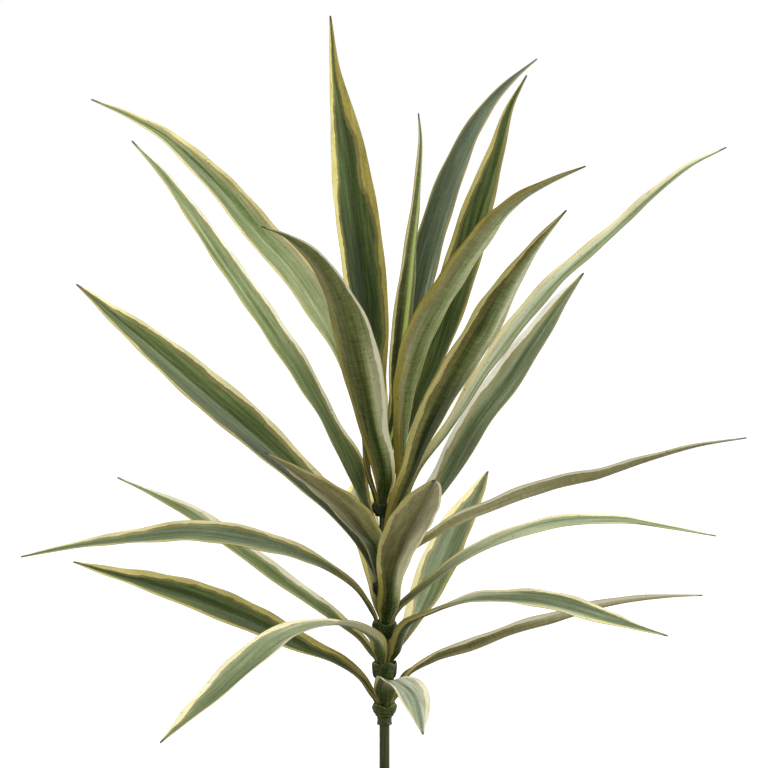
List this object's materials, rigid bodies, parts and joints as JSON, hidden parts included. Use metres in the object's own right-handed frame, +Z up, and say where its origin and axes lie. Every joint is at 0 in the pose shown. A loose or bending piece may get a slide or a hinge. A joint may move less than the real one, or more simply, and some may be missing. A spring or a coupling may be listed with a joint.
{
  "type": "potted variegated yucca",
  "caption": "Potted variegated yucca: a thin stem in a plain round pot carries a head of strap leaves with green middles and cream margins, arching out on all sides.",
  "frame": {"origin": "centre of the pot's flat underside, on the stem's axis", "axes": "+Z up along the stem; -Y towards the front of the plant, the side that the picture shows; +X to the right from there"},
  "size_m": [0.5738, 0.4594, 0.823],
  "materials": {
    "pot": "plain matt earthenware",
    "soil": "loose dark potting mix",
    "stem": "dark olive, satin",
    "sleeve": "mottled green, satin",
    "leaf": "satin, green middle and cream margins with fine lengthwise veins"
  },
  "bodies": {
    "root": {"pot": "pot", "soil": "soil", "stem": "stem", "collar": "stem", "sleeve_1": "sleeve", "sleeve_2": "sleeve", "sleeve_3": "sleeve", "sleeve_4": "sleeve", "sleeve_5": "sleeve", "sleeve_6": "sleeve", "sleeve_7": "sleeve", "leaf_01": "leaf", "leaf_02": "leaf", "leaf_03": "leaf", "leaf_04": "leaf", "leaf_05": "leaf", "leaf_06": "leaf", "leaf_07": "leaf", "leaf_08": "leaf", "leaf_09": "leaf", "leaf_10": "leaf", "leaf_11": "leaf", "leaf_12": "leaf", "leaf_13": "leaf", "leaf_14": "leaf", "leaf_15": "leaf", "leaf_16": "leaf", "leaf_17": "leaf", "leaf_18": "leaf", "leaf_19": "leaf", "leaf_20": "leaf", "leaf_21": "leaf", "leaf_22": "leaf", "leaf_23": "leaf", "leaf_24": "leaf", "leaf_25": "leaf", "leaf_26": "leaf", "leaf_27": "leaf", "leaf_28": "leaf"}
  },
  "joints": []
}
